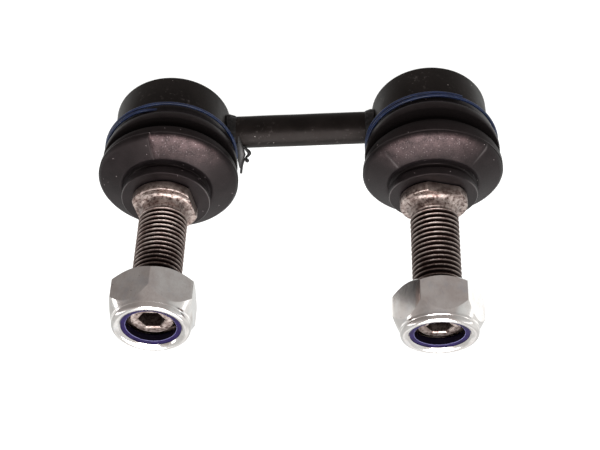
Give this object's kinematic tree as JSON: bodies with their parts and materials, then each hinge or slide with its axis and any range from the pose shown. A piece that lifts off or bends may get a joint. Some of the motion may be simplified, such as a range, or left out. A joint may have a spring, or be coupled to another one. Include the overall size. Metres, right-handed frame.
{
  "type": "stabilizer link",
  "caption": "Short stabilizer link: round bar between two booted ball joints, with threaded studs on the same side and nylon-insert lock nuts.",
  "frame": {"origin": "middle of the left joint's flat back", "axes": "+X along the bar to the right joint, +Z out of the joints' mouths, the way the studs point, and +Y the way the studs lean at rest"},
  "size_m": [0.0988, 0.0402, 0.066],
  "materials": {
    "satin_black_paint": "satin",
    "black_rubber": "matte, dusty",
    "blue_wire": "satin",
    "phosphated_steel": "phosphated",
    "bright_zinc": "zinc plated",
    "blue_nylon": "smooth",
    "white_plastic": "smooth"
  },
  "bodies": {
    "link_body": {"link_bar": "satin_black_paint", "left_housing": "satin_black_paint", "left_housing_cover": "satin_black_paint", "left_ball_seat": "white_plastic", "left_weld_bead": "satin_black_paint", "left_boot_clip": "blue_wire", "right_housing": "satin_black_paint", "right_housing_cover": "satin_black_paint", "right_ball_seat": "white_plastic", "right_weld_bead": "satin_black_paint", "right_boot_clip": "blue_wire"},
    "left_boot_body": {"left_boot": "black_rubber"},
    "left_collar_body": {"left_collar_ring": "phosphated_steel"},
    "left_stud_body": {"left_ball_stud": "phosphated_steel"},
    "left_insert_body": {"left_nut_insert": "blue_nylon"},
    "left_nut_body": {"left_lock_nut": "bright_zinc"},
    "right_boot_body": {"right_boot": "black_rubber"},
    "right_collar_body": {"right_collar_ring": "phosphated_steel"},
    "right_stud_body": {"right_ball_stud": "phosphated_steel"},
    "right_insert_body": {"right_nut_insert": "blue_nylon"},
    "right_nut_body": {"right_lock_nut": "bright_zinc"}
  },
  "joints": [
    {"name": "left_swing_across", "type": "hinge", "parent": "link_body", "child": "left_boot_body", "pos_m": [0, 0, 0.01], "axis": [-1, 0, 0], "range_deg": [-35.7, 4.3], "deforming": ["left_boot"]},
    {"name": "left_swing_along", "type": "hinge", "parent": "left_boot_body", "child": "left_collar_body", "pos_m": [0, 0, 0.01], "axis": [0, 0.9627, -0.2706], "range_deg": [-20.9, 19.1]},
    {"name": "left_stud_spin", "type": "hinge", "parent": "left_collar_body", "child": "left_stud_body", "pos_m": [0, 0, 0.01], "axis": [0.0157, 0.2706, 0.9626], "continuous": true},
    {"name": "left_nut_travel", "type": "slide", "parent": "left_stud_body", "child": "left_insert_body", "axis": [0.0157, 0.2706, 0.9626], "range_m": [-0.02001, 0.00751]},
    {"name": "left_nut_turn", "type": "hinge", "parent": "left_insert_body", "child": "left_nut_body", "pos_m": [0, 0, 0.01], "axis": [0.0157, 0.2706, 0.9626], "range_deg": [-5760, 2160]},
    {"name": "right_swing_across", "type": "hinge", "parent": "link_body", "child": "right_boot_body", "pos_m": [0.0644, 0, 0.01], "axis": [-1, 0, 0], "range_deg": [-27.6, 12.4], "deforming": ["right_boot"]},
    {"name": "right_swing_along", "type": "hinge", "parent": "right_boot_body", "child": "right_collar_body", "pos_m": [0.0644, 0, 0.01], "axis": [0, 0.9912, -0.1323], "range_deg": [-22.7, 17.3]},
    {"name": "right_stud_spin", "type": "hinge", "parent": "right_collar_body", "child": "right_stud_body", "pos_m": [0.0644, 0, 0.01], "axis": [0.0471, 0.1321, 0.9901], "continuous": true},
    {"name": "right_nut_travel", "type": "slide", "parent": "right_stud_body", "child": "right_insert_body", "axis": [0.0471, 0.1321, 0.9901], "range_m": [-0.02001, 0.00751]},
    {"name": "right_nut_turn", "type": "hinge", "parent": "right_insert_body", "child": "right_nut_body", "pos_m": [0.0644, 0, 0.01], "axis": [0.0471, 0.1321, 0.9901], "range_deg": [-5760, 2160]}
  ],
  "couplings": [
    {"joint": "left_nut_travel", "follows": "left_nut_turn", "m_per_rad": 0.00019894},
    {"joint": "right_nut_travel", "follows": "right_nut_turn", "m_per_rad": 0.00019894}
  ]
}
